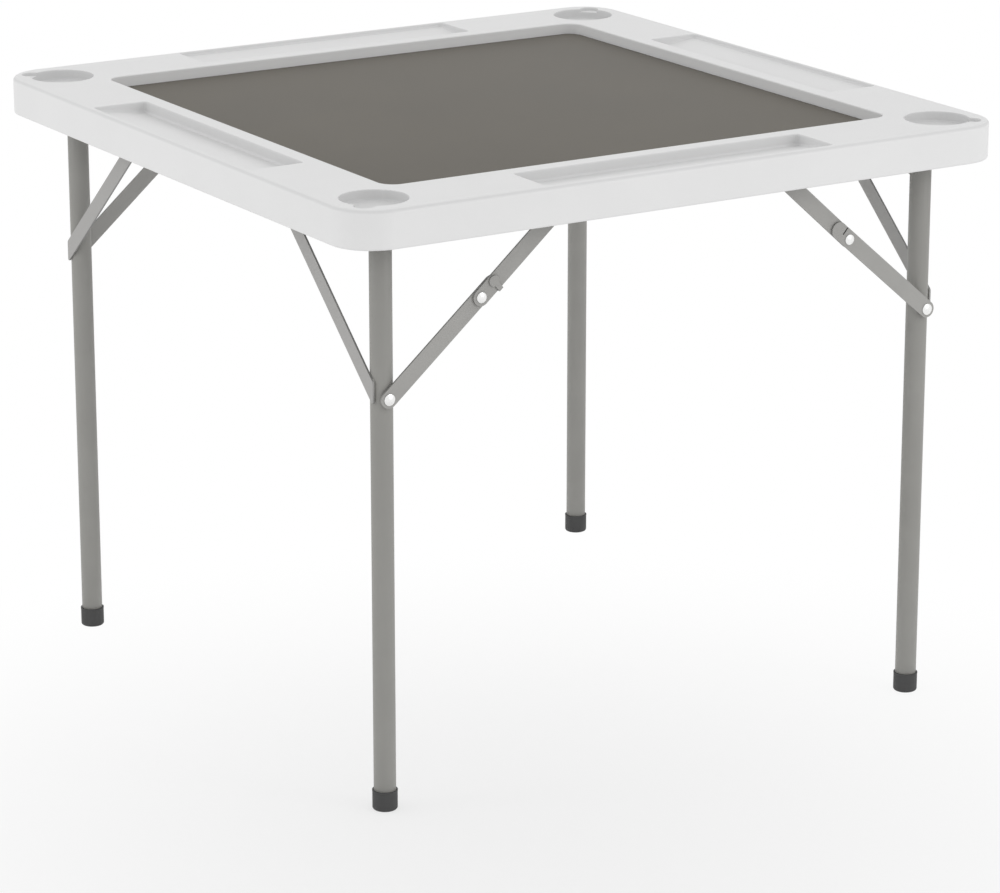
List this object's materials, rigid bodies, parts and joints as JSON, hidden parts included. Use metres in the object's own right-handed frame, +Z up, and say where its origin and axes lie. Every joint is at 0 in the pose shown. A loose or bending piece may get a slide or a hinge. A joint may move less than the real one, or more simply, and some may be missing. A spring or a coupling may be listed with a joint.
{
  "type": "folding card table",
  "caption": "Square folding card table with a sunken playing field, chip trays and cup holders in a moulded top, on steel tube leg frames that fold under it.",
  "frame": {"origin": "on the floor, under the middle of the top", "axes": "+Z up; +X to the right frame; +Y to the back; both leg frames turn about lines along Y"},
  "size_m": [0.876, 0.876, 0.711],
  "materials": {
    "moulded_top": "satin, lightly textured white plastic",
    "playing_cover": "matt warm grey covered board",
    "frame_paint": "satin warm grey powder coat",
    "stay_steel": "satin warm grey powder coat",
    "zinc_steel": "zinc plated sheet steel",
    "rivet_steel": "bright plated steel",
    "foot_rubber": "matt dark grey rubber",
    "black_plastic": "matt black plastic",
    "bearing_nylon": "matt black nylon"
  },
  "bodies": {
    "root": {"table_top": "moulded_top", "playing_surface": "playing_cover", "side_rail_front": "zinc_steel", "side_rail_back": "zinc_steel", "rail_screws": "rivet_steel", "strap_screws": "rivet_steel", "stay_anchor_pins": "rivet_steel", "pivot_bearing_left_front": "bearing_nylon", "pivot_bearing_left_back": "bearing_nylon", "pivot_bearing_right_front": "bearing_nylon", "pivot_bearing_right_back": "bearing_nylon", "bearing_strap_left_front": "zinc_steel", "bearing_strap_left_back": "zinc_steel", "bearing_strap_right_front": "zinc_steel", "bearing_strap_right_back": "zinc_steel"},
    "left_frame": {"leg_front_left": "frame_paint", "leg_back_left": "frame_paint", "cross_tube_left": "frame_paint", "gusset_front_left": "frame_paint", "gusset_back_left": "frame_paint", "foot_front_left": "foot_rubber", "foot_back_left": "foot_rubber", "leg_plugs_left": "black_plastic", "stay_rivets_left": "rivet_steel"},
    "right_frame": {"leg_front_right": "frame_paint", "leg_back_right": "frame_paint", "cross_tube_right": "frame_paint", "gusset_front_right": "frame_paint", "gusset_back_right": "frame_paint", "foot_front_right": "foot_rubber", "foot_back_right": "foot_rubber", "leg_plugs_right": "black_plastic", "stay_rivets_right": "rivet_steel"},
    "left_front_upper_stay": {"upper_stay_front_left": "stay_steel", "knee_rivet_front_left": "rivet_steel"},
    "left_front_lower_stay": {"lower_stay_front_left": "stay_steel", "knee_tail_front_left": "rivet_steel"},
    "left_back_upper_stay": {"upper_stay_back_left": "stay_steel", "knee_rivet_back_left": "rivet_steel"},
    "left_back_lower_stay": {"lower_stay_back_left": "stay_steel", "knee_tail_back_left": "rivet_steel"},
    "right_front_upper_stay": {"upper_stay_front_right": "stay_steel", "knee_tail_front_right": "rivet_steel"},
    "right_front_lower_stay": {"lower_stay_front_right": "stay_steel", "knee_rivet_front_right": "rivet_steel"},
    "right_back_upper_stay": {"upper_stay_back_right": "stay_steel", "knee_tail_back_right": "rivet_steel"},
    "right_back_lower_stay": {"lower_stay_back_right": "stay_steel", "knee_rivet_back_right": "rivet_steel"}
  },
  "joints": [
    {"name": "left_frame_fold", "type": "hinge", "parent": "root", "child": "left_frame", "pos_m": [-0.367, 0, 0.668], "axis": [0, -1, 0], "range_deg": [0, 91.3]},
    {"name": "left_front_lower_stay_swing", "type": "hinge", "parent": "left_frame", "child": "left_front_lower_stay", "pos_m": [-0.367, -0.3861, 0.484], "axis": [0, -1, 0], "range_deg": [-144.87, 0.2]},
    {"name": "left_front_upper_stay_swing", "type": "hinge", "parent": "root", "child": "left_front_upper_stay", "pos_m": [-0.1558, -0.3861, 0.666], "axis": [0, -1, 0], "range_deg": [-0.2, 126.49]},
    {"name": "left_back_lower_stay_swing", "type": "hinge", "parent": "left_frame", "child": "left_back_lower_stay", "pos_m": [-0.367, 0.3861, 0.484], "axis": [0, -1, 0], "range_deg": [-144.87, 0.2]},
    {"name": "left_back_upper_stay_swing", "type": "hinge", "parent": "root", "child": "left_back_upper_stay", "pos_m": [-0.1558, 0.3861, 0.666], "axis": [0, -1, 0], "range_deg": [-0.2, 126.49]},
    {"name": "right_frame_fold", "type": "hinge", "parent": "root", "child": "right_frame", "pos_m": [0.367, 0, 0.654], "axis": [0, 1, 0], "range_deg": [0, 88.7]},
    {"name": "right_front_lower_stay_swing", "type": "hinge", "parent": "right_frame", "child": "right_front_lower_stay", "pos_m": [0.367, -0.3861, 0.484], "axis": [0, 1, 0], "range_deg": [-132.58, 0.2]},
    {"name": "right_front_upper_stay_swing", "type": "hinge", "parent": "root", "child": "right_front_upper_stay", "pos_m": [0.16128, -0.3861, 0.663], "axis": [0, 1, 0], "range_deg": [-0.2, 128.43]},
    {"name": "right_back_lower_stay_swing", "type": "hinge", "parent": "right_frame", "child": "right_back_lower_stay", "pos_m": [0.367, 0.3861, 0.484], "axis": [0, 1, 0], "range_deg": [-132.58, 0.2]},
    {"name": "right_back_upper_stay_swing", "type": "hinge", "parent": "root", "child": "right_back_upper_stay", "pos_m": [0.16128, 0.3861, 0.663], "axis": [0, 1, 0], "range_deg": [-0.2, 128.43]}
  ],
  "couplings": [
    {"joint": "left_front_lower_stay_swing", "follows": "left_frame_fold", "ratio": -1.5845},
    {"joint": "left_front_upper_stay_swing", "follows": "left_frame_fold", "ratio": 1.3833},
    {"joint": "left_back_lower_stay_swing", "follows": "left_frame_fold", "ratio": -1.5845},
    {"joint": "left_back_upper_stay_swing", "follows": "left_frame_fold", "ratio": 1.3833},
    {"joint": "right_front_lower_stay_swing", "follows": "right_frame_fold", "ratio": -1.4925},
    {"joint": "right_front_upper_stay_swing", "follows": "right_frame_fold", "ratio": 1.4457},
    {"joint": "right_back_lower_stay_swing", "follows": "right_frame_fold", "ratio": -1.4925},
    {"joint": "right_back_upper_stay_swing", "follows": "right_frame_fold", "ratio": 1.4457}
  ]
}
